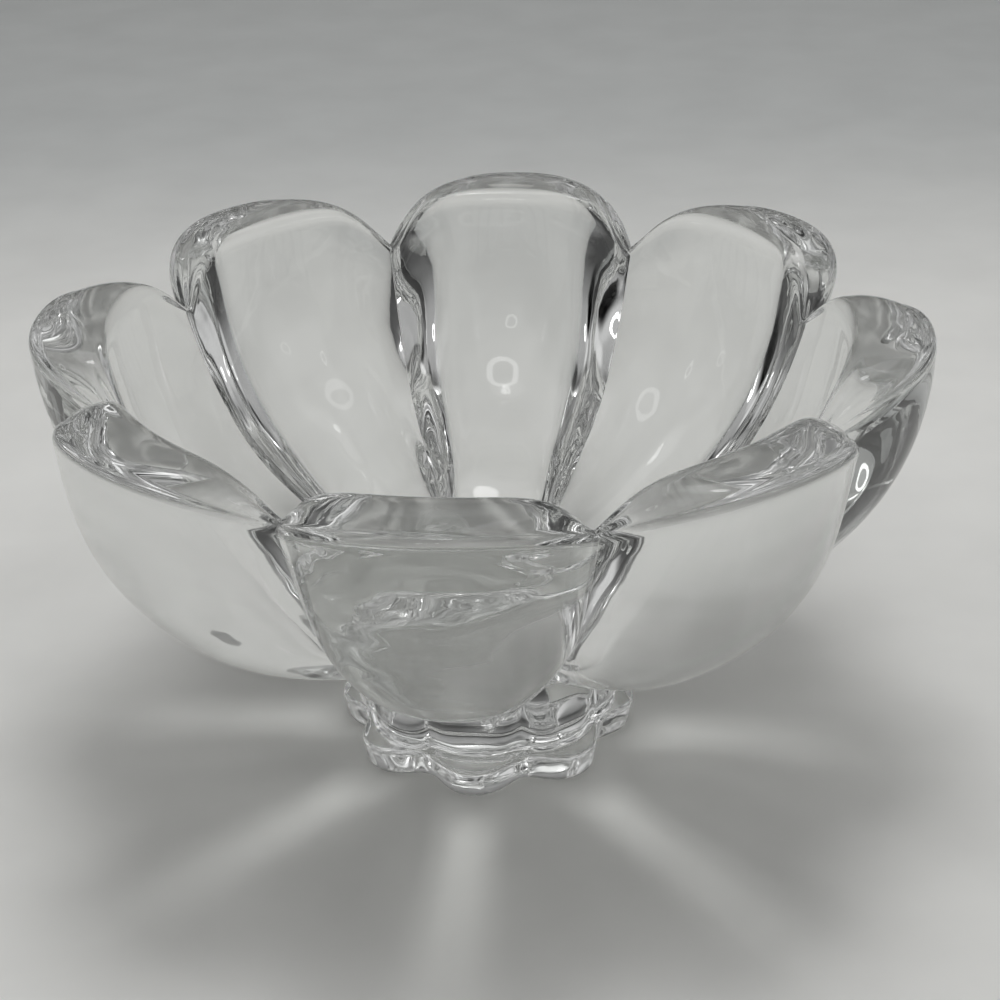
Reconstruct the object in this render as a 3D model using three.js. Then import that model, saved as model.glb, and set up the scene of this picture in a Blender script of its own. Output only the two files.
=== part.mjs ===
// Crystal bowl: one thick pressing of clear glass with eight spoon-shaped petals on a scalloped foot.
// Millimetres, +Z up. The origin is on the table, under the middle of the foot, and one petal faces -Y.
//
// The bowl is a lathe form with two profiles instead of one. The petal profile runs up the middle of a
// petal, the valley profile runs up the groove between two petals, and every point between them is a blend
// that follows the petal's cross-section. Both profiles run from the middle of the underside, round the
// foot, up the neck and the belly, over the rim and down the inside to the middle of the bowl's floor.

import * as THREE from 'three';
import { mergeVertices } from 'three/addons/utils/BufferGeometryUtils.js';

const petalCount = 8;

// Rim: its outer edge over the middle of a petal, and over the valley between two petals
const petalRimRadius = 81.3;
const petalRimHeight = 84.8;
const valleyRimRadius = 66.6;
const valleyRimHeight = 74.9;

// Width of the rim's top, its rounded edges, and how far the top swells over them
const petalRimWidth = 15.2;
const valleyRimWidth = 3.3;
const petalOuterEdge = 2;
const petalInnerEdge = 3.5;
const valleyEdge = 1.4;
const rimCrown = 0.5;

// Directions at the rim, in degrees: the walls lean out from upright, and the top rises towards the inside
const petalOuterLeanAngle = 0.4;
const petalInnerLeanAngle = 9.6;
const petalTopAngle = 1.5;
const valleyOuterLeanAngle = 19.6;
const valleyInnerLeanAngle = 6.9;
const valleyTopAngle = 10.9;

// Inside
const floorHeight = 26.9;

// Neck, where the belly meets the foot
const neckHeight = 23.1;
const petalNeckRadius = 25.8;
const valleyNeckRadius = 23.9;
const neckFillet = 1.5;

// Foot: a scalloped ring whose sides flare up to a shelf, and a waist where the shelf meets the neck
const petalFootRadius = 28.8;
const petalBaseRadius = 27.8;
const petalWaistRadius = 24.6;
const valleyFootRadius = 24.6;
const valleyBaseRadius = 23.3;
const valleyWaistRadius = 23;
const footSideHeight = 5.4;
const shelfHeight = 6.6;
const baseEdge = 1.1;
const footTopEdge = 0.8;
const shelfFillet = 1.2;

// A shallow hollow under the foot leaves a ring to stand on
const hollowRadius = 17;
const hollowDepth = 1.6;

// Fullness of the curves: the belly's rise where it leaves the neck, in degrees, and the lengths of the
// curves' handles as shares of each curve's straight length
const petalBelly = { riseAngle: 15.4, lowShare: 0.7, highShare: 0.11 };
const valleyBelly = { riseAngle: 44.2, lowShare: 0.54, highShare: 0.67 };
const petalInside = { highShare: 0.385, lowShare: 0.465 };
const valleyInside = { highShare: 0.235, lowShare: 0.51 };

// Cross-sections of a petal: a bulge power of 2 is round and a higher one is squarer, and a softening
// power over 1 rounds the bottom of the valley
const footSection = { bulgePower: 2.3, softeningPower: 2.3 };
const neckSection = { bulgePower: 2.5, softeningPower: 1 };
const outerRimSection = { bulgePower: 2.6, softeningPower: 1 };
const innerRimSection = { bulgePower: 5.2, softeningPower: 1.5 };

// Fineness of the mesh: steps across one petal, and along each part of the profile
const acrossCount = 16;
const stepCounts = {
  hollow: 3,
  ring: 1,
  baseEdge: 2,
  footSide: 1,
  footTopEdge: 2,
  shelf: 1,
  shelfFillet: 2,
  neck: 3,
  neckFillet: 2,
  belly: 10,
  outerEdge: 3,
  rimTop: 2,
  innerEdge: 3,
  inside: 13,
};

const point = (radius, height) => new THREE.Vector2(radius, height);
const along = (start, direction, distance) => start.clone().addScaledVector(direction, distance);
const towards = (start, end) => end.clone().sub(start).normalize();

function directionAt(degrees) {
  const angle = THREE.MathUtils.degToRad(degrees);
  return point(Math.cos(angle), Math.sin(angle));
}

// A rounded corner between a line that comes in along one direction and a line that leaves along another.
function roundedCorner(corner, comingIn, goingOut, edge) {
  return new THREE.QuadraticBezierCurve(along(corner, comingIn, -edge), corner, along(corner, goingOut, edge));
}

// A cross-section between two others, at one share for its bulge and at another for its softening.
function between(first, second, bulgeShare, softeningShare) {
  return {
    bulgePower: THREE.MathUtils.lerp(first.bulgePower, second.bulgePower, bulgeShare),
    softeningPower: THREE.MathUtils.lerp(first.softeningPower, second.softeningPower, softeningShare),
  };
}

// The parts of one profile, in order, each with its curve and with the petal's cross-section along it.
function profileParts(size) {
  const inward = point(-1, 0);
  const outward = point(1, 0);

  // Foot and neck
  const hollowRim = point(hollowRadius, 0);
  const base = point(size.baseRadius, 0);
  const footTop = point(size.footRadius, footSideHeight);
  const waist = point(size.waistRadius, shelfHeight);
  const neck = point(size.neckRadius, neckHeight);
  const side = towards(base, footTop);
  const shelf = towards(footTop, waist);
  const neckRise = towards(waist, neck);
  const bellyRise = directionAt(size.belly.riseAngle);

  // Rim
  const outerUp = directionAt(90 - size.outerLeanAngle);
  const innerUp = directionAt(90 - size.innerLeanAngle);
  const innerDown = innerUp.clone().negate();
  const topInward = directionAt(180 - size.topAngle);
  const outerRim = point(size.rimRadius, size.rimHeight);
  const innerRim = along(outerRim, topInward, size.rimWidth);
  const outerEdge = Math.min(size.outerEdge, 0.45 * size.rimWidth);
  const innerEdge = Math.min(size.innerEdge, 0.45 * size.rimWidth);
  const outerShoulder = along(outerRim, outerUp, -outerEdge);
  const outerTop = along(outerRim, topInward, outerEdge);
  const innerTop = along(innerRim, topInward, -innerEdge);
  const innerShoulder = along(innerRim, innerUp, -innerEdge);
  const crown = outerTop.clone().lerp(innerTop, 0.5).add(point(0, 2 * rimCrown));

  // Belly and inside
  const bellyStart = along(neck, bellyRise, neckFillet);
  const bellyLength = outerShoulder.distanceTo(bellyStart);
  const floor = point(0, floorHeight);
  const insideLength = innerShoulder.distanceTo(floor);

  return [
    {
      name: 'hollow',
      curve: new THREE.QuadraticBezierCurve(
        point(0, hollowDepth), point(hollowRadius / 2, hollowDepth), hollowRim),
      section: () => footSection,
    },
    {
      name: 'ring',
      curve: new THREE.LineCurve(hollowRim, along(base, inward, baseEdge)),
      section: () => footSection,
    },
    {
      name: 'baseEdge',
      curve: roundedCorner(base, outward, side, baseEdge),
      section: () => footSection,
    },
    {
      name: 'footSide',
      curve: new THREE.LineCurve(along(base, side, baseEdge), along(footTop, side, -footTopEdge)),
      section: () => footSection,
    },
    {
      name: 'footTopEdge',
      curve: roundedCorner(footTop, side, shelf, footTopEdge),
      section: () => footSection,
    },
    {
      name: 'shelf',
      curve: new THREE.LineCurve(along(footTop, shelf, footTopEdge), along(waist, shelf, -shelfFillet)),
      section: () => footSection,
    },
    {
      name: 'shelfFillet',
      curve: roundedCorner(waist, shelf, neckRise, shelfFillet),
      section: () => footSection,
    },
    {
      name: 'neck',
      curve: new THREE.LineCurve(along(waist, neckRise, shelfFillet), along(neck, neckRise, -neckFillet)),
      section: (share) => between(footSection, neckSection, share, share),
    },
    {
      name: 'neckFillet',
      curve: roundedCorner(neck, neckRise, bellyRise, neckFillet),
      section: () => neckSection,
    },
    {
      name: 'belly',
      curve: new THREE.CubicBezierCurve(
        bellyStart,
        along(bellyStart, bellyRise, size.belly.lowShare * bellyLength),
        along(outerShoulder, outerUp, -size.belly.highShare * bellyLength),
        outerShoulder),
      section: (share) => between(neckSection, outerRimSection, share ** 2, share),
    },
    {
      name: 'outerEdge',
      curve: new THREE.QuadraticBezierCurve(outerShoulder, outerRim, outerTop),
      section: () => outerRimSection,
    },
    {
      name: 'rimTop',
      curve: new THREE.QuadraticBezierCurve(outerTop, crown, innerTop),
      section: (share) => between(outerRimSection, innerRimSection, share, share),
    },
    {
      name: 'innerEdge',
      curve: roundedCorner(innerRim, topInward, innerDown, innerEdge),
      section: () => innerRimSection,
    },
    {
      name: 'inside',
      curve: new THREE.CubicBezierCurve(
        innerShoulder,
        along(innerShoulder, innerDown, size.inside.highShare * insideLength),
        along(floor, outward, size.inside.lowShare * insideLength),
        floor),
      section: (share) => between(innerRimSection, neckSection, share ** 2, share),
    },
  ];
}

// The points of a profile, each with the petal's cross-section there.
function profilePoints(size) {
  const profile = [];
  for (const { name, curve, section } of profileParts(size)) {
    for (let step = profile.length === 0 ? 0 : 1; step <= stepCounts[name]; step++) {
      const share = step / stepCounts[name];
      const place = curve.getPoint(share);
      profile.push({ radius: place.x, height: place.y, section: section(share) });
    }
  }
  return profile;
}

// How much of the petal profile shows at a place across a petal: 1 in its middle and 0 in the valleys.
function petalShare(across, { bulgePower, softeningPower }) {
  return Math.max(0, 1 - Math.abs(across) ** bulgePower) ** softeningPower;
}

// A lathe form of the petal profile, with its vertices moved in to the valley profile between the petals.
function petalledLathe(petal, valley) {
  const outline = petal.map(({ radius, height }) => point(radius, height));
  const segments = petalCount * acrossCount;
  const lathe = new THREE.LatheGeometry(outline, segments);
  const position = lathe.getAttribute('position');
  const petalAngle = (2 * Math.PI) / petalCount;

  for (let index = 0; index < position.count; index++) {
    const segment = Math.floor(index / outline.length);
    const onPetal = petal[index % outline.length];
    const inValley = valley[index % outline.length];

    // Places across a petal run from -1 to 1, and lie closer together next to the valleys.
    const petalNumber = Math.floor(segment / acrossCount) % petalCount;
    const stepInPetal = segment % acrossCount;
    const across = Math.sin(Math.PI * (stepInPetal / acrossCount - 0.5));
    const turn = (petalNumber + across / 2) * petalAngle;

    const share = petalShare(across, onPetal.section);
    const radius = THREE.MathUtils.lerp(inValley.radius, onPetal.radius, share);
    const height = THREE.MathUtils.lerp(inValley.height, onPetal.height, share);
    position.setXYZ(index, radius * Math.sin(turn), -radius * Math.cos(turn), height);
  }

  lathe.deleteAttribute('normal');
  lathe.deleteAttribute('uv');
  const closed = mergeVertices(lathe, 1e-3);
  closed.computeVertexNormals();
  return closed;
}

function crystal() {
  return new THREE.MeshStandardMaterial({
    name: 'pressed_crystal',
    color: 0xe4e9e8,
    roughness: 0.03,
    metalness: 0,
    transparent: true,
    opacity: 0.35,
  });
}

function makeBowl() {
  const petal = profilePoints({
    rimRadius: petalRimRadius,
    rimHeight: petalRimHeight,
    rimWidth: petalRimWidth,
    outerEdge: petalOuterEdge,
    innerEdge: petalInnerEdge,
    outerLeanAngle: petalOuterLeanAngle,
    innerLeanAngle: petalInnerLeanAngle,
    topAngle: petalTopAngle,
    neckRadius: petalNeckRadius,
    waistRadius: petalWaistRadius,
    footRadius: petalFootRadius,
    baseRadius: petalBaseRadius,
    belly: petalBelly,
    inside: petalInside,
  });
  const valley = profilePoints({
    rimRadius: valleyRimRadius,
    rimHeight: valleyRimHeight,
    rimWidth: valleyRimWidth,
    outerEdge: valleyEdge,
    innerEdge: valleyEdge,
    outerLeanAngle: valleyOuterLeanAngle,
    innerLeanAngle: valleyInnerLeanAngle,
    topAngle: valleyTopAngle,
    neckRadius: valleyNeckRadius,
    waistRadius: valleyWaistRadius,
    footRadius: valleyFootRadius,
    baseRadius: valleyBaseRadius,
    belly: valleyBelly,
    inside: valleyInside,
  });
  const bowl = new THREE.Mesh(petalledLathe(petal, valley), crystal());
  bowl.name = 'bowl';
  return bowl;
}

const crystalBowl = new THREE.Group();
crystalBowl.name = 'crystal_bowl';
crystalBowl.add(makeBowl());

export default crystalBowl;
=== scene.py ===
import math

import bpy
from mathutils import Matrix, Vector


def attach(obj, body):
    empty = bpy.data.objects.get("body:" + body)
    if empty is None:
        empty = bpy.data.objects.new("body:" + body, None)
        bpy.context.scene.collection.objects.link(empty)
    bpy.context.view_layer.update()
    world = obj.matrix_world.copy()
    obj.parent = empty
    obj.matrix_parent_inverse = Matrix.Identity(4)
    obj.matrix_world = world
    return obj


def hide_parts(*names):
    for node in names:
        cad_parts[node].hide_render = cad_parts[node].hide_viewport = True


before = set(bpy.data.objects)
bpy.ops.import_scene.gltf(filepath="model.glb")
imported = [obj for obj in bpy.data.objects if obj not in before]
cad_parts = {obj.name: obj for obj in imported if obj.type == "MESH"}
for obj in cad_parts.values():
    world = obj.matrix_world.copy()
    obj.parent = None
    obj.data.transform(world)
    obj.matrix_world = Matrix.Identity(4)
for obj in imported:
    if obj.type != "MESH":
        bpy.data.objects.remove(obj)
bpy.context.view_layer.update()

# Every length below is in millimetres and every angle in degrees. Blender works in metres.
MM = 0.001

# The bowl's own sizes, as in the part, but for the inside_low values: the streaks seen through the front
# petal show that the real bowl's inside is about a millimetre narrower halfway down.
PETALS = 8
FLOOR_HEIGHT = 26.9
NECK_HEIGHT = 23.1
NECK_FILLET = 1.5
SHELF_HEIGHT = 6.6
SHELF_FILLET = 1.2
FOOT_SIDE_HEIGHT = 5.4
FOOT_TOP_EDGE = 0.8
FOOT_EDGE = 1.1
HOLLOW_RADIUS = 17.0
HOLLOW_DEPTH = 1.6
RIM_CROWN = 0.5

# Powers of a petal's cross-section: 2 is round, higher is squarer. Softness over 1 rounds the valley.
FOOT_POWER = 2.3
FOOT_SOFTNESS = 2.3
NECK_POWER = 2.5
NECK_SOFTNESS = 1.0
OUTER_RIM_POWER = 2.6
OUTER_RIM_SOFTNESS = 1.0
INNER_RIM_POWER = 5.2
INNER_RIM_SOFTNESS = 1.5

# The profile up the middle of a petal, and the one up the valley between two petals.
PETAL = {
    "rim_radius": 81.3, "rim_height": 84.8, "rim_wall": 15.2, "rim_rise": 1.5,
    "outer_edge": 2.0, "inner_edge": 3.5, "outer_lean": 0.4, "inner_lean": 9.6,
    "neck_radius": 25.8, "waist_radius": 24.6, "foot_radius": 28.8, "base_radius": 27.8,
    "belly_rise": 15.4, "belly_low": 0.7, "belly_high": 0.11, "inside_high": 0.385, "inside_low": 0.425,
}
VALLEY = {
    "rim_radius": 66.6, "rim_height": 74.9, "rim_wall": 3.3, "rim_rise": 10.9,
    "outer_edge": 1.4, "inner_edge": 1.4, "outer_lean": 19.6, "inner_lean": 6.9,
    "neck_radius": 23.9, "waist_radius": 23.0, "foot_radius": 24.6, "base_radius": 23.3,
    "belly_rise": 44.2, "belly_low": 0.54, "belly_high": 0.67, "inside_high": 0.235, "inside_low": 0.47,
}

# Fineness of the mesh: points along the profile, and across one petal.
CURVE_STEPS = {
    "hollow": 8, "ring": 2, "foot_edge": 6, "foot_side": 3, "foot_top_edge": 5, "shelf": 4,
    "shelf_fillet": 5, "neck": 10, "neck_fillet": 6, "belly": 66, "outer_edge": 12, "rim_top": 10,
    "inner_edge": 12, "inside": 84,
}
STEPS_ACROSS = 48
WELD_DISTANCE = 0.001

# The surface has a slight swell, and level marks where the glass chilled in the mould. Each has a height
# from trough to crest, a length round the bowl, and a stretch, which is that length over its width up the
# bowl.
SWELL_HEIGHT = 0.12
SWELL_LENGTH = 16.0
SWELL_STRETCH = 1.0
CHILL_MARK_HEIGHT = 0.09
CHILL_MARK_LENGTH = 14.0
CHILL_MARK_STRETCH = 4.0

# The crystal: streaks in the melt, wear under the foot, a bloom of handling in the patches where its noise
# lies between start and full, and orange peel.
CRYSTAL_IOR = 1.545
CLEAR_MELT = "#fafbfa"
GREY_MELT = "#f1f2f1"
MELT_STREAK_WIDTH = 36
FOOT_WEAR_HEIGHT = 1.5
FOOT_WEAR_ROUGHNESS = 0.05
BLOOM_WIDTH = 18
BLOOM_START = 0.55
BLOOM_FULL = 0.8
BLOOM_ROUGHNESS = 0.03
ORANGE_PEEL_WIDTH = 3.85
ORANGE_PEEL_DEPTH = 0.05
ORANGE_PEEL_STRENGTH = 0.06

# The card under the bowl. Far behind the bowl its colour is painted darker, as painted shade for the dimmer
# light there. It lies just clear of the foot, so that their faces don't coincide. Its mottle comes from
# noise between the low and the high value.
CARD_COLOUR = "#e6e6e3"
PAINTED_SHADE_COLOUR = "#c4c6c5"
PAINTED_SHADE_START = 160
PAINTED_SHADE_EDGE = 240
CARD_REACH = 2000
CARD_CLEARANCE = 0.05
CARD_ROUGHNESS = 0.9
CARD_SPECULAR = 0.1
MOTTLE_WIDTH = 28.6
MOTTLE_LOW = 0.3
MOTTLE_HIGH = 0.7
MOTTLE_CONTRAST = 0.03

# The camera of the photograph, found from the bowl's notches, outlines and ridges.
CAMERA_TURN = 6.3
CAMERA_RISE = 28.12
CAMERA_ROLL = -1.4
CAMERA_DISTANCE = 388.0
CAMERA_AIM_ASIDE = 3.4
CAMERA_AIM_HEIGHT = 48.1
SENSOR_WIDTH = 36.0
LENS = 74.4
NEAREST_SEEN = 10

# The studio's brightness by elevation, from table height to straight up.
STUDIO_LEVELS = ((0, 0.03), (14, 0.05), (25, 0.2), (37, 0.36), (60, 0.42), (75, 0.35), (90, 0.1))

# Patches of the studio: name, azimuth and elevation of the middle, radius, soft edge and brightness.
STUDIO_PATCHES = (
    ("soft light on the right", 72, 35, 12, 12, 0.6),
    ("soft light behind on the left", 232, 36, 12, 12, 0.64),
    ("halo of the small lamp", 178, 69, 9, 12, 1.3),
    ("soft light high behind on the right", 150, 60, 7, 8, 0.95),
    ("soft light high in front on the left", 300, 60, 6, 8, 0.75),
    ("soft light in front on the left", 330, 48, 7, 7, 0.6),
    ("dark side behind on the right", 120, 42, 8, 10, 0.0),
    ("dark side behind", 182, 46, 6, 8, 0.1),
    ("dark side in front", 318, 32, 12, 10, 0.0),
    ("dark top on the left", 245, 62, 5, 7, 0.05),
    ("dark top on the right", 80, 70, 6, 8, 0.02),
    ("small lamp", 180, 78, 3.5, 1.0, 6.0),
    ("ring lamp in front", 348, 51, 5.0, 0.6, 3.2),
    ("middle of the ring lamp in front", 348, 51, 3.2, 0.6, 0.5),
    ("ring lamp on the right", 70, 42, 4.8, 0.6, 2.0),
    ("middle of the ring lamp on the right", 70, 42, 3.1, 0.6, 0.5),
    ("ring lamp on the left", 275, 40, 4.8, 0.6, 2.2),
    ("middle of the ring lamp on the left", 275, 40, 3.1, 0.6, 0.5),
)

# The studio lights the card at this share of the brightness that the glass shows.
CARD_SHARE = 0.75

# Lamps overhead, which draw the rays on the card: azimuth, elevation, distance from the bowl's foot, radius
# in degrees as seen from there, and power in watts.
OVERHEAD_LAMPS = (
    (180, 81, 750, 10, 1.35),
    (0, 88, 750, 10, 0.5),
    (90, 68, 1000, 8, 0.35),
    (270, 68, 1000, 8, 0.35),
    (90, 50, 1000, 8, 0.45),
    (290, 50, 1000, 8, 0.3),
)

# Light goes through many walls of glass before it reaches the camera, so it may bend and bounce this often.
TURNS_IN_GLASS = 24
BOUNCES_OFF_GLASS = 16

# The Mix node's sockets when it mixes colours, by number because their names come more than once.
MIX_SHARE = 0
MIX_FIRST = 6
MIX_SECOND = 7
MIX_RESULT = 2


def linear(hex_code):
    """An sRGB hex colour as the linear colour that Blender works in."""
    channels = [int(hex_code[i:i + 2], 16) / 255 for i in (1, 3, 5)]
    return [c / 12.92 if c <= 0.04045 else ((c + 0.055) / 1.055) ** 2.4 for c in channels] + [1.0]


def add_node(tree, kind, inputs=(), **settings):
    """Adds a node: settings are its properties, and inputs go in order or by the socket's name or number.

    An input is a value, another node's output socket, or a node, which stands for its first output.
    """
    node = tree.nodes.new(kind)
    for name, value in settings.items():
        setattr(node, name, value)
    for socket, value in inputs.items() if isinstance(inputs, dict) else enumerate(inputs):
        if isinstance(value, bpy.types.Node):
            value = value.outputs[0]
        if isinstance(value, bpy.types.NodeSocket):
            tree.links.new(value, node.inputs[socket])
        else:
            node.inputs[socket].default_value = value
    return node


# Profile curves, in millimetres: x is the radius and y the height.

def direction(degrees):
    return Vector((math.cos(math.radians(degrees)), math.sin(math.radians(degrees))))


def line(start, end, share):
    return start.lerp(end, share)


def quadratic(start, middle, end, share):
    return start.lerp(middle, share).lerp(middle.lerp(end, share), share)


def cubic(start, first, second, end, share):
    return quadratic(start, first, second, share).lerp(quadratic(first, second, end, share), share)


def profile_curves(size):
    """The parts of one profile in order, from the middle of the underside to the middle of the floor."""
    outer_up = direction(90 - size["outer_lean"])
    inner_up = direction(90 - size["inner_lean"])
    inward = direction(180 - size["rim_rise"])
    outer_rim = Vector((size["rim_radius"], size["rim_height"]))
    inner_rim = outer_rim + inward * size["rim_wall"]
    outer_shoulder = outer_rim - outer_up * size["outer_edge"]
    outer_top = outer_rim + inward * size["outer_edge"]
    inner_top = inner_rim - inward * size["inner_edge"]
    inner_shoulder = inner_rim - inner_up * size["inner_edge"]
    crown = outer_top.lerp(inner_top, 0.5) + Vector((0, 2 * RIM_CROWN))

    base = Vector((size["base_radius"], 0))
    foot_top = Vector((size["foot_radius"], FOOT_SIDE_HEIGHT))
    waist = Vector((size["waist_radius"], SHELF_HEIGHT))
    neck = Vector((size["neck_radius"], NECK_HEIGHT))
    side = (foot_top - base).normalized()
    shelf = (waist - foot_top).normalized()
    rise = (neck - waist).normalized()

    hollow_top = Vector((0, HOLLOW_DEPTH))
    hollow_shoulder = Vector((HOLLOW_RADIUS / 2, HOLLOW_DEPTH))
    hollow_edge = Vector((HOLLOW_RADIUS, 0))
    ring_end = base - Vector((FOOT_EDGE, 0))
    side_start = base + side * FOOT_EDGE
    side_end = foot_top - side * FOOT_TOP_EDGE
    shelf_start = foot_top + shelf * FOOT_TOP_EDGE
    shelf_end = waist - shelf * SHELF_FILLET
    neck_start = waist + rise * SHELF_FILLET
    neck_end = neck - rise * NECK_FILLET

    belly_way = direction(size["belly_rise"])
    belly_start = neck + belly_way * NECK_FILLET
    belly = (outer_shoulder - belly_start).length
    belly_first = belly_start + belly_way * size["belly_low"] * belly
    belly_second = outer_shoulder - outer_up * size["belly_high"] * belly

    floor = Vector((0, FLOOR_HEIGHT))
    inside = (inner_shoulder - floor).length
    inside_first = inner_shoulder - inner_up * size["inside_high"] * inside
    inside_second = floor + Vector((size["inside_low"] * inside, 0))

    return [
        ("hollow", quadratic, (hollow_top, hollow_shoulder, hollow_edge)),
        ("ring", line, (hollow_edge, ring_end)),
        ("foot_edge", quadratic, (ring_end, base, side_start)),
        ("foot_side", line, (side_start, side_end)),
        ("foot_top_edge", quadratic, (side_end, foot_top, shelf_start)),
        ("shelf", line, (shelf_start, shelf_end)),
        ("shelf_fillet", quadratic, (shelf_end, waist, neck_start)),
        ("neck", line, (neck_start, neck_end)),
        ("neck_fillet", quadratic, (neck_end, neck, belly_start)),
        ("belly", cubic, (belly_start, belly_first, belly_second, outer_shoulder)),
        ("outer_edge", quadratic, (outer_shoulder, outer_rim, outer_top)),
        ("rim_top", quadratic, (outer_top, crown, inner_top)),
        ("inner_edge", quadratic, (inner_top, inner_rim, inner_shoulder)),
        ("inside", cubic, (inner_shoulder, inside_first, inside_second, floor)),
    ]


def blend(start, end, share):
    return start + (end - start) * share


def cross_section(name, share):
    """The power and the softness of a petal's cross-section at a place on the profile."""
    foot = (FOOT_POWER, FOOT_SOFTNESS)
    neck = (NECK_POWER, NECK_SOFTNESS)
    outer_rim = (OUTER_RIM_POWER, OUTER_RIM_SOFTNESS)
    inner_rim = (INNER_RIM_POWER, INNER_RIM_SOFTNESS)
    if name == "neck":
        return blend(foot[0], neck[0], share), blend(foot[1], neck[1], share)
    if name == "neck_fillet":
        return neck
    if name == "belly":
        return blend(neck[0], outer_rim[0], share ** 2), blend(neck[1], outer_rim[1], share)
    if name == "outer_edge":
        return outer_rim
    if name == "rim_top":
        return blend(outer_rim[0], inner_rim[0], share), blend(outer_rim[1], inner_rim[1], share)
    if name == "inner_edge":
        return inner_rim
    if name == "inside":
        return blend(inner_rim[0], neck[0], share ** 2), blend(inner_rim[1], neck[1], share)
    return foot


def profile_points(size):
    """Points of a profile in metres, each with the power and the softness of the cross-section there."""
    points = []
    for name, curve, corners in profile_curves(size):
        steps = CURVE_STEPS[name]
        for step in range(0 if not points else 1, steps + 1):
            place = curve(*corners, step / steps) * MM
            points.append((place.x, place.y, *cross_section(name, step / steps)))
    return points


def profile_mesh():
    """A chain of points along the petal profile that carries the valley profile as an attribute."""
    petal = profile_points(PETAL)
    valley = profile_points(VALLEY)
    mesh = bpy.data.meshes.new("bowl_profile")
    chain = [(index, index + 1) for index in range(len(petal) - 1)]
    mesh.from_pydata([(radius, 0, height) for radius, height, _, _ in petal], chain, [])
    mesh.attributes.new("valley", "FLOAT_VECTOR", "POINT")
    mesh.attributes.new("power", "FLOAT", "POINT")
    mesh.attributes.new("softness", "FLOAT", "POINT")
    for index, (radius, height, power, softness) in enumerate(valley):
        mesh.attributes["valley"].data[index].vector = (radius, 0, height)
        mesh.attributes["power"].data[index].value = power
        mesh.attributes["softness"].data[index].value = softness
    return mesh


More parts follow.
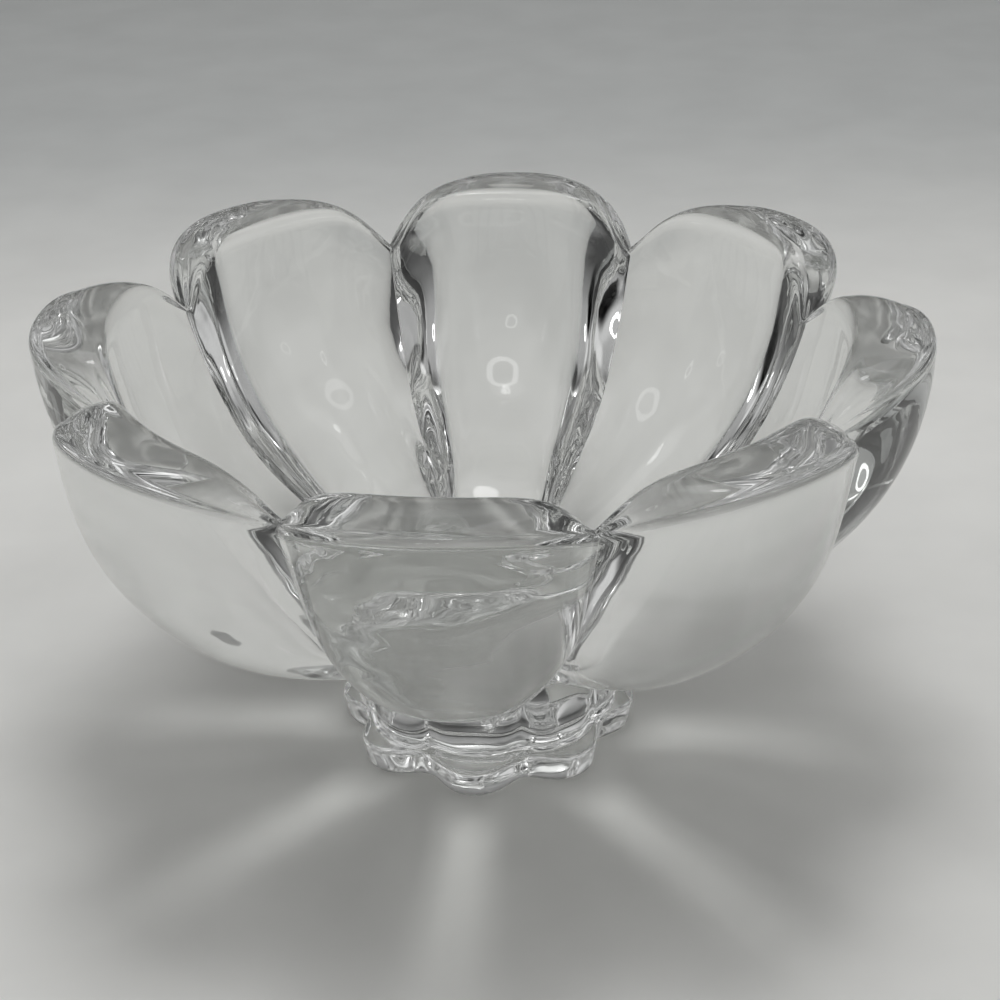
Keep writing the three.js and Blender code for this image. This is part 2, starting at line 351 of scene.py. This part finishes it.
def petal_bowl_tree():
    """A Geometry Nodes tree that makes one petal from the two profiles, and the bowl from its petals."""
    tree = bpy.data.node_groups.new("petal_bowl", "GeometryNodeTree")
    sockets = {}
    for name, kind in (
        ("Profile", "NodeSocketGeometry"),
        ("Petals", "NodeSocketInt"),
        ("Steps across", "NodeSocketInt"),
        ("Swell height", "NodeSocketFloat"),
        ("Swell length", "NodeSocketFloat"),
        ("Swell stretch", "NodeSocketFloat"),
        ("Chill mark height", "NodeSocketFloat"),
        ("Chill mark length", "NodeSocketFloat"),
        ("Chill mark stretch", "NodeSocketFloat"),
        ("Neck height", "NodeSocketFloat"),
        ("Weld distance", "NodeSocketFloat"),
        ("Glass", "NodeSocketMaterial"),
    ):
        sockets[name] = tree.interface.new_socket(name, in_out="INPUT", socket_type=kind).identifier
    tree.interface.new_socket("Bowl", in_out="OUTPUT", socket_type="NodeSocketGeometry")
    given = add_node(tree, "NodeGroupInput").outputs
    position = add_node(tree, "GeometryNodeInputPosition")

    # A flat grid: x runs across a petal from -1 to 1, and y along the profile from -0.5 to 0.5.
    profile_size = add_node(tree, "GeometryNodeAttributeDomainSize", {
        "Geometry": given["Profile"],
    }, component="MESH")
    rows = profile_size.outputs["Point Count"]
    columns = add_node(tree, "ShaderNodeMath", (given["Steps across"], 1.0), operation="ADD")
    grid = add_node(tree, "GeometryNodeMeshGrid", {
        "Size X": 2.0, "Size Y": 1.0, "Vertices X": columns, "Vertices Y": rows,
    })
    place = add_node(tree, "ShaderNodeSeparateXYZ", (position,)).outputs
    share_along = add_node(tree, "ShaderNodeMath", (place["Y"], 0.5), operation="ADD")
    last_row = add_node(tree, "ShaderNodeMath", (rows, 1.0), operation="SUBTRACT")
    along = add_node(tree, "ShaderNodeMath", (share_along, last_row), operation="MULTIPLY")
    row = add_node(tree, "FunctionNodeFloatToInt", (along,), rounding_mode="ROUND")

    # What the profile's point on that row carries: its own place, and its attributes.
    carried = {}
    for name, kind in (
        ("position", "FLOAT_VECTOR"), ("valley", "FLOAT_VECTOR"), ("power", "FLOAT"), ("softness", "FLOAT"),
    ):
        attribute = add_node(tree, "GeometryNodeInputNamedAttribute", {"Name": name}, data_type=kind)
        carried[name] = add_node(tree, "GeometryNodeSampleIndex", {
            "Geometry": given["Profile"], "Value": attribute, "Index": row,
        }, data_type=kind, domain="POINT")

    # The petal's cross-section: 1 - |across| ** power, softened in the valley.
    swing = add_node(tree, "ShaderNodeMath", (place["X"], math.pi / 2), operation="MULTIPLY")
    across = add_node(tree, "ShaderNodeMath", (swing,), operation="SINE")
    from_middle = add_node(tree, "ShaderNodeMath", (across,), operation="ABSOLUTE")
    drop = add_node(tree, "ShaderNodeMath", (from_middle, carried["power"]), operation="POWER")
    crest = add_node(tree, "ShaderNodeMath", (1.0, drop), operation="SUBTRACT", use_clamp=True)
    petal_share = add_node(tree, "ShaderNodeMath", (crest, carried["softness"]), operation="POWER")

    # The grid's point lies between the two profiles, turned round the axis by its place across the petal.
    from_valley = add_node(tree, "ShaderNodeVectorMath", (
        carried["position"], carried["valley"],
    ), operation="SUBTRACT")
    between = add_node(tree, "ShaderNodeVectorMath", (
        from_valley, petal_share, carried["valley"],
    ), operation="MULTIPLY_ADD")
    upright = add_node(tree, "ShaderNodeSeparateXYZ", (between,)).outputs
    half_petal = add_node(tree, "ShaderNodeMath", (math.pi, given["Petals"]), operation="DIVIDE")
    turn = add_node(tree, "ShaderNodeMath", (across, half_petal), operation="MULTIPLY")
    sine = add_node(tree, "ShaderNodeMath", (turn,), operation="SINE")
    cosine = add_node(tree, "ShaderNodeMath", (turn,), operation="COSINE")
    aside = add_node(tree, "ShaderNodeMath", (upright["X"], sine), operation="MULTIPLY")
    outwards = add_node(tree, "ShaderNodeMath", (upright["X"], cosine), operation="MULTIPLY")
    to_front = add_node(tree, "ShaderNodeMath", (outwards, -1.0), operation="MULTIPLY")
    on_petal = add_node(tree, "ShaderNodeCombineXYZ", (aside, to_front, upright["Z"]))
    one_petal = add_node(tree, "GeometryNodeSetPosition", {"Geometry": grid, "Position": on_petal})

    # The petals round the axis, welded into one closed skin.
    seats = add_node(tree, "GeometryNodePoints", {"Count": given["Petals"]})
    number = add_node(tree, "GeometryNodeInputIndex")
    whole_petal = add_node(tree, "ShaderNodeMath", (2 * math.pi, given["Petals"]), operation="DIVIDE")
    angle = add_node(tree, "ShaderNodeMath", (number, whole_petal), operation="MULTIPLY")
    facing = add_node(tree, "ShaderNodeCombineXYZ", {"Z": angle})
    ring = add_node(tree, "GeometryNodeInstanceOnPoints", {
        "Points": seats, "Instance": one_petal, "Rotation": facing,
    })
    realized = add_node(tree, "GeometryNodeRealizeInstances", {"Geometry": ring})
    welded = add_node(tree, "GeometryNodeMergeByDistance", {
        "Geometry": realized, "Distance": given["Weld distance"],
    })

    # Swell and chill marks, which move the surface in and out and fade away down the foot.
    heights = []
    for name in ("Swell", "Chill mark"):
        stretch = add_node(tree, "ShaderNodeCombineXYZ", (1.0, 1.0, given[name + " stretch"]))
        where = add_node(tree, "ShaderNodeVectorMath", (position, stretch), operation="MULTIPLY")
        scale = add_node(tree, "ShaderNodeMath", (1.0, given[name + " length"]), operation="DIVIDE")
        noise = add_node(tree, "ShaderNodeTexNoise", {
            "Vector": where, "Scale": scale, "Detail": 1.0, "Roughness": 0.4,
        })
        level = add_node(tree, "ShaderNodeMath", (noise, 0.5), operation="SUBTRACT")
        height = add_node(tree, "ShaderNodeMath", (level, given[name + " height"]), operation="MULTIPLY")
        heights.append(height)
    both = add_node(tree, "ShaderNodeMath", heights, operation="ADD")
    above = add_node(tree, "ShaderNodeSeparateXYZ", (position,)).outputs["Z"]
    fade = add_node(tree, "ShaderNodeMath", (
        above, given["Neck height"],
    ), operation="DIVIDE", use_clamp=True)
    faded = add_node(tree, "ShaderNodeMath", (both, fade), operation="MULTIPLY")
    normal = add_node(tree, "GeometryNodeInputNormal")
    offset = add_node(tree, "ShaderNodeVectorMath", (normal, faded), operation="MULTIPLY")
    uneven = add_node(tree, "GeometryNodeSetPosition", {"Geometry": welded, "Offset": offset})
    smooth = add_node(tree, "GeometryNodeSetShadeSmooth", {"Geometry": uneven})
    glazed = add_node(tree, "GeometryNodeSetMaterial", {"Geometry": smooth, "Material": given["Glass"]})
    add_node(tree, "NodeGroupOutput", {"Bowl": glazed})
    return tree, sockets


def make_bowl(glass):
    """The whole bowl as one plain mesh."""
    maker = bpy.data.objects.new("bowl_maker", profile_mesh())
    bpy.context.scene.collection.objects.link(maker)
    tree, sockets = petal_bowl_tree()
    modifier = maker.modifiers.new("petal_bowl", "NODES")
    modifier.node_group = tree
    for name, value in (
        ("Petals", PETALS),
        ("Steps across", STEPS_ACROSS),
        ("Swell height", SWELL_HEIGHT * MM),
        ("Swell length", SWELL_LENGTH * MM),
        ("Swell stretch", SWELL_STRETCH),
        ("Chill mark height", CHILL_MARK_HEIGHT * MM),
        ("Chill mark length", CHILL_MARK_LENGTH * MM),
        ("Chill mark stretch", CHILL_MARK_STRETCH),
        ("Neck height", NECK_HEIGHT * MM),
        ("Weld distance", WELD_DISTANCE * MM),
        ("Glass", glass),
    ):
        modifier[sockets[name]] = value
    evaluated = maker.evaluated_get(bpy.context.evaluated_depsgraph_get())
    mesh = bpy.data.meshes.new_from_object(evaluated)
    maker.modifiers.remove(modifier)
    bpy.data.objects.remove(maker)
    mesh.name = "crystal_bowl"
    bowl = bpy.data.objects.new("crystal_bowl", mesh)
    bpy.context.scene.collection.objects.link(bowl)
    return bowl


def pressed_crystal():
    """Pressed lead crystal, fire-polished: colourless and very clear, with bright lines at its edges."""
    material = bpy.data.materials.new("pressed_crystal")
    material.use_nodes = True
    tree = material.node_tree
    shader = tree.nodes["Principled BSDF"]
    place = add_node(tree, "ShaderNodeTexCoord").outputs["Object"]

    # The melt is very slightly streaked: colourless, with a breath of grey in places.
    streaks = add_node(tree, "ShaderNodeTexNoise", {
        "Vector": place, "Scale": 1 / (MELT_STREAK_WIDTH * MM), "Detail": 2.0,
    })
    melt = add_node(tree, "ShaderNodeMix", {
        MIX_SHARE: streaks, MIX_FIRST: linear(CLEAR_MELT), MIX_SECOND: linear(GREY_MELT),
    }, data_type="RGBA").outputs[MIX_RESULT]
    tree.links.new(melt, shader.inputs["Base Color"])

    # Fire polish, with a faint bloom of handling in patches, and more wear where the foot is set down.
    height = add_node(tree, "ShaderNodeSeparateXYZ", (place,)).outputs["Z"]
    worn = add_node(tree, "ShaderNodeMapRange", {
        "Value": height, "From Max": FOOT_WEAR_HEIGHT * MM, "To Min": FOOT_WEAR_ROUGHNESS, "To Max": 0.0,
    })
    smears = add_node(tree, "ShaderNodeTexNoise", {
        "Vector": place, "Scale": 1 / (BLOOM_WIDTH * MM), "Detail": 3.0,
    })
    bloom = add_node(tree, "ShaderNodeMapRange", {
        "Value": smears, "From Min": BLOOM_START, "From Max": BLOOM_FULL, "To Max": BLOOM_ROUGHNESS,
    })
    roughness = add_node(tree, "ShaderNodeMath", (worn, bloom), operation="ADD").outputs[0]
    tree.links.new(roughness, shader.inputs["Roughness"])

    # Orange peel too fine for the mesh.
    peel = add_node(tree, "ShaderNodeTexNoise", {
        "Vector": place, "Scale": 1 / (ORANGE_PEEL_WIDTH * MM), "Detail": 1.0,
    })
    polish = add_node(tree, "ShaderNodeBump", {
        "Height": peel, "Strength": ORANGE_PEEL_STRENGTH, "Distance": ORANGE_PEEL_DEPTH * MM,
    })
    tree.links.new(polish.outputs["Normal"], shader.inputs["Normal"])
    shader.inputs["IOR"].default_value = CRYSTAL_IOR
    shader.inputs["Transmission Weight"].default_value = 1.0
    return material


def matt_card():
    """The matt grey card under the bowl. Far behind the bowl its colour is painted darker: painted shade for
    the dimmer light there.
    """
    material = bpy.data.materials.new("matt_grey_card")
    material.use_nodes = True
    tree = material.node_tree
    shader = tree.nodes["Principled BSDF"]
    place = add_node(tree, "ShaderNodeTexCoord").outputs["Object"]
    turn = math.radians(CAMERA_TURN)
    # Painted shade: from the start distance behind the bowl, the card's colour darkens to stand for the
    # dimmer light far behind it.
    behind = add_node(tree, "ShaderNodeVectorMath", (
        place, (-math.sin(turn), math.cos(turn), 0.0),
    ), operation="DOT_PRODUCT").outputs["Value"]
    painted_shade_share = add_node(tree, "ShaderNodeMapRange", {
        "Value": behind, "From Min": PAINTED_SHADE_START * MM, "From Max": (PAINTED_SHADE_START + PAINTED_SHADE_EDGE) * MM,
    }, interpolation_type="SMOOTHSTEP")
    colour = add_node(tree, "ShaderNodeMix", {
        MIX_SHARE: painted_shade_share, MIX_FIRST: linear(CARD_COLOUR), MIX_SECOND: linear(PAINTED_SHADE_COLOUR),
    }, data_type="RGBA").outputs[MIX_RESULT]
    fibres = add_node(tree, "ShaderNodeTexNoise", {
        "Vector": place, "Scale": 1 / (MOTTLE_WIDTH * MM), "Detail": 3.0,
    })
    mottle = add_node(tree, "ShaderNodeMapRange", {
        "Value": fibres, "From Min": MOTTLE_LOW, "From Max": MOTTLE_HIGH,
        "To Min": 1 - MOTTLE_CONTRAST, "To Max": 1 + MOTTLE_CONTRAST,
    })
    grey = add_node(tree, "ShaderNodeCombineColor", (mottle, mottle, mottle))
    mottled = add_node(tree, "ShaderNodeMix", {
        MIX_SHARE: 1.0, MIX_FIRST: colour, MIX_SECOND: grey,
    }, data_type="RGBA", blend_type="MULTIPLY").outputs[MIX_RESULT]
    tree.links.new(mottled, shader.inputs["Base Color"])
    shader.inputs["Roughness"].default_value = CARD_ROUGHNESS
    shader.inputs["Specular IOR Level"].default_value = CARD_SPECULAR
    return material


def make_floor():
    """The card that the bowl stands on."""
    signs = ((-1, -1), (1, -1), (1, 1), (-1, 1))
    corners = [Vector((x * CARD_REACH, y * CARD_REACH, -CARD_CLEARANCE)) * MM for x, y in signs]
    mesh = bpy.data.meshes.new("floor")
    mesh.from_pydata(corners, [], [(0, 1, 2, 3)])
    mesh.materials.append(matt_card())
    floor = bpy.data.objects.new("floor", mesh)
    bpy.context.scene.collection.objects.link(floor)
    return floor


def heading(azimuth, elevation):
    """The direction to a place round the bowl: azimuth 0 is towards the camera and 90 is on its right."""
    across = math.radians(azimuth + CAMERA_TURN)
    up = math.radians(elevation)
    return Vector((math.sin(across) * math.cos(up), -math.cos(across) * math.cos(up), math.sin(up)))


def make_world():
    """The studio round the bowl: dim at table height, brighter above, with soft lights and dark sides."""
    world = bpy.data.worlds.new("studio")
    bpy.context.scene.world = world
    world.use_nodes = True
    tree = world.node_tree
    background = tree.nodes["Background"]
    where = add_node(tree, "ShaderNodeTexCoord").outputs["Generated"]
    height = add_node(tree, "ShaderNodeSeparateXYZ", (where,)).outputs["Z"]

    # From each elevation to the next the brightness rises or falls by a step of its own.
    level = STUDIO_LEVELS[0][1]
    for (low, dim), (high, bright) in zip(STUDIO_LEVELS, STUDIO_LEVELS[1:]):
        step = add_node(tree, "ShaderNodeMapRange", {
            "Value": height,
            "From Min": math.sin(math.radians(low)), "From Max": math.sin(math.radians(high)),
            "To Max": bright - dim,
        })
        level = add_node(tree, "ShaderNodeMath", (level, step), operation="ADD")

    for name, azimuth, elevation, radius, edge, brightness in STUDIO_PATCHES:
        nearness = add_node(tree, "ShaderNodeVectorMath", (
            where, heading(azimuth, elevation),
        ), operation="DOT_PRODUCT").outputs["Value"]
        share = add_node(tree, "ShaderNodeMapRange", {
            "Value": nearness,
            "From Min": math.cos(math.radians(radius + edge)), "From Max": math.cos(math.radians(radius)),
        }, interpolation_type="SMOOTHSTEP", label=name)
        level = add_node(tree, "ShaderNodeMix", {
            "Factor": share, "A": level, "B": brightness,
        }, data_type="FLOAT")

    # What the glass shows keeps the full brightness, and the card gets its share.
    ray = add_node(tree, "ShaderNodeLightPath").outputs
    seen_in_glass = add_node(tree, "ShaderNodeMath", (
        ray["Is Glossy Ray"], ray["Is Transmission Ray"],
    ), operation="ADD", use_clamp=True)
    share = add_node(tree, "ShaderNodeMapRange", {
        "Value": seen_in_glass, "To Min": CARD_SHARE, "To Max": 1.0,
    })
    level = add_node(tree, "ShaderNodeMath", (level, share), operation="MULTIPLY")
    grey = add_node(tree, "ShaderNodeCombineColor", (level, level, level)).outputs[0]
    tree.links.new(grey, background.inputs["Color"])
    background.inputs["Strength"].default_value = 1.0


def make_lamps(bowl, floor):
    """The lamps overhead. They shine through the bowl onto the card, which draws rays of light on it."""
    for azimuth, elevation, distance, radius, watts in OVERHEAD_LAMPS:
        light = bpy.data.lights.new("overhead_lamp", "AREA")
        light.shape = "DISK"
        light.size = 2 * distance * MM * math.tan(math.radians(radius))
        light.energy = watts
        light.cycles.is_caustics_light = True
        lamp = bpy.data.objects.new("overhead_lamp", light)
        bpy.context.scene.collection.objects.link(lamp)
        way = heading(azimuth, elevation)
        lamp.location = way * distance * MM
        lamp.rotation_euler = (-way).to_track_quat("-Z", "Y").to_euler()
        lamp.visible_glossy = False
        lamp.visible_transmission = False
    bowl.cycles.is_caustics_caster = True
    floor.cycles.is_caustics_receiver = True


def make_camera():
    """The camera of the photograph, which looks down at the bowl from its front."""
    camera = bpy.data.cameras.new("camera")
    camera.sensor_width = SENSOR_WIDTH
    camera.lens = LENS
    camera.clip_start = NEAREST_SEEN * MM
    viewpoint = bpy.data.objects.new("camera", camera)
    bpy.context.scene.collection.objects.link(viewpoint)
    turn = Matrix.Rotation(math.radians(CAMERA_TURN), 4, "Z")
    tilt = Matrix.Rotation(math.radians(90 - CAMERA_RISE), 4, "X")
    roll = Matrix.Rotation(math.radians(CAMERA_ROLL), 4, "Z")
    aim = turn @ Vector((CAMERA_AIM_ASIDE, 0, CAMERA_AIM_HEIGHT)) * MM
    back_off = turn @ tilt @ Vector((0, 0, CAMERA_DISTANCE)) * MM
    viewpoint.matrix_world = Matrix.Translation(aim + back_off) @ turn @ tilt @ roll
    bpy.context.scene.camera = viewpoint


scene = bpy.context.scene
scene.view_settings.view_transform = "Standard"
scene.cycles.max_bounces = TURNS_IN_GLASS
scene.cycles.transmission_bounces = TURNS_IN_GLASS
scene.cycles.glossy_bounces = BOUNCES_OFF_GLASS

bowl = make_bowl(pressed_crystal())
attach(bowl, "root")
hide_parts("bowl")

floor = make_floor()
make_world()
make_lamps(bowl, floor)
make_camera()
